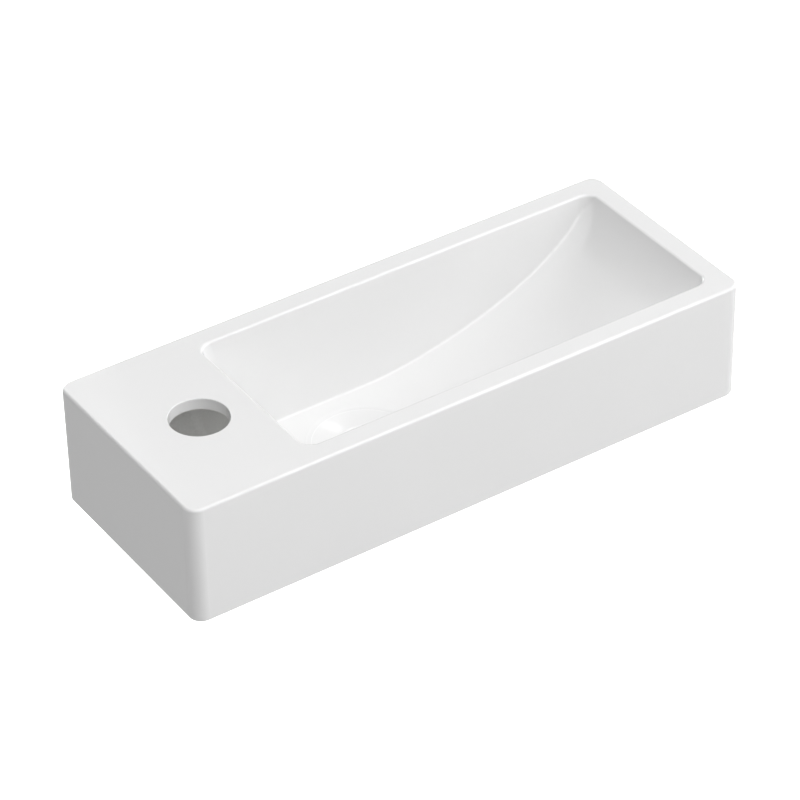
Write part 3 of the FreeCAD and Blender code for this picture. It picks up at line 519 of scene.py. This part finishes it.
def make_piece(name, slot, replaced, *shells):
    """New piece from closed shells, which takes a slot's finish and stands for a node.

    A shell is its points, its four-cornered faces and its end caps, with points numbered from 0.
    """
    points, faces, start = [], [], 0
    for shell_points, quads, caps in shells:
        points.append(shell_points)
        faces += (start + quads).tolist() + [(start + cap).tolist() for cap in caps]
        start += len(shell_points)
    mesh = bpy.data.meshes.new(name)
    mesh.from_pydata(np.vstack(points).tolist(), [], faces)
    mesh.shade_smooth()
    mesh.set_sharp_from_angle(angle=math.radians(SHARP_ANGLE))
    mesh.materials.append(finishes[slot])
    piece = bpy.data.objects.new(name, mesh)
    bpy.context.scene.collection.objects.link(piece)
    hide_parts(replaced)
    return piece


def white_floor():
    """Matt white floor, lit evenly enough to read as plain white."""
    material, _, shader, _ = new_material("matt_white_floor")
    shader.inputs["Base Color"].default_value = linear("#F6F6F4")
    shader.inputs["Roughness"].default_value = 1.0
    shader.inputs["Emission Color"].default_value = WHITE
    shader.inputs["Emission Strength"].default_value = FLOOR_GLOW
    return material


def make_floor():
    """One large square, well below the basin, which takes no part in lighting it."""
    side = np.array([(-1, -1), (1, -1), (1, 1), (-1, 1)]) * FLOOR_HALF
    corners = np.column_stack([side, np.full(4, -FLOOR_DROP)])
    mesh = bpy.data.meshes.new("studio_floor")
    mesh.from_pydata(corners.tolist(), [], [(0, 1, 2, 3)])
    mesh.materials.append(white_floor())
    floor = bpy.data.objects.new("studio_floor", mesh)
    bpy.context.scene.collection.objects.link(floor)
    floor.visible_diffuse = floor.visible_glossy = floor.visible_shadow = False


def towards_view(azimuth, elevation):
    """Unit vector that points away from the basin: azimuth 0 to the front, 90 to the right."""
    azimuth, elevation = math.radians(azimuth), math.radians(elevation)
    level = math.cos(elevation)
    return Vector((math.sin(azimuth) * level, -math.cos(azimuth) * level, math.sin(elevation)))


def make_sky():
    """White sky in three bands: above the horizon, low under it and deep under it.

    Seen directly, the sky is as white as the floor, so that the basin stands on plain white from every side.
    """
    world = bpy.data.worlds.new("studio_sky")
    world.use_nodes = True
    tree = world.node_tree
    direction = add_node(tree, "TexCoord").outputs["Generated"]
    height = add_node(tree, "SeparateXYZ", {"Vector": direction}).outputs["Z"]
    upper = add_node(tree, "MapRange", {"Value": height, "From Min": -HORIZON_BLUR, "From Max": HORIZON_BLUR,
                                        "To Min": SKY_LOW, "To Max": SKY_ABOVE})
    lower = add_node(tree, "MapRange", {"Value": height, "From Min": DEEP_FULL, "From Max": DEEP_FROM,
                                        "To Min": SKY_DEEP - SKY_LOW, "To Max": 0.0})
    strength = add_node(tree, "Math", {0: upper.outputs["Result"], 1: lower.outputs["Result"]},
                        operation="ADD")
    seen = add_node(tree, "LightPath").outputs["Is Camera Ray"]
    shown = add_node(tree, "Mix", {"Factor": seen, "A": strength.outputs["Value"], "B": FLOOR_GLOW})
    sky = tree.nodes["Background"]
    sky.inputs["Color"].default_value = WHITE
    tree.links.new(shown.outputs["Result"], sky.inputs["Strength"])
    bpy.context.scene.world = world


def make_softboxes():
    """Large soft lamps round the basin, each of which faces it."""
    for name, azimuth, elevation, distance, width, height, power in SOFTBOXES:
        towards = towards_view(azimuth, elevation)
        lamp = bpy.data.lights.new(name, "AREA")
        lamp.shape = "RECTANGLE"
        lamp.size = width
        lamp.size_y = height
        lamp.energy = power
        softbox = bpy.data.objects.new(name, lamp)
        turn = (-towards).to_track_quat("-Z", "Y").to_matrix().to_4x4()
        softbox.matrix_world = Matrix.Translation(Vector(SOFTBOX_AIM) + towards * distance) @ turn
        bpy.context.scene.collection.objects.link(softbox)


def make_camera():
    """Camera at the photograph's place, turned by its azimuth, elevation and roll."""
    back = towards_view(CAMERA_AZIMUTH, CAMERA_ELEVATION)
    roll = Matrix.Rotation(math.radians(CAMERA_ROLL), 3, "Z")
    turn = (-back).to_track_quat("-Z", "Y").to_matrix() @ roll
    lens = bpy.data.cameras.new("photo_camera")
    lens.lens = CAMERA_LENS_MM
    camera = bpy.data.objects.new("photo_camera", lens)
    camera.matrix_world = Matrix.Translation(CAMERA_PLACE) @ turn.to_4x4()
    bpy.context.scene.collection.objects.link(camera)
    bpy.context.scene.camera = camera


finishes = make_finishes()
for part in frame["record"]["subparts"]:
    frame["nodes"][part["node"]].material_slots[0].material = finishes[part["material_slot"]]
arms = [bridge_arm(math.tau * k / BRIDGE_ARMS) for k in range(BRIDGE_ARMS)]
tail = make_piece("threaded_tail", "chromed_brass", "waste_tail", tail_tube(), bridge_hub(), *arms)
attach(tail, "basin")
seal = make_piece("squeezed_seal", "white_silicone", "flange_gasket", squeezed_seal())
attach(seal, "basin")
# The spring's closed turns sit on the pillar's floor and under the plug's crown
spring = make_piece("wound_spring", "spring_steel", "click_spring", wound_spring())
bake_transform(spring)
make_floor()
make_sky()
make_softboxes()
make_camera()
bpy.context.scene.view_settings.view_transform = "Standard"
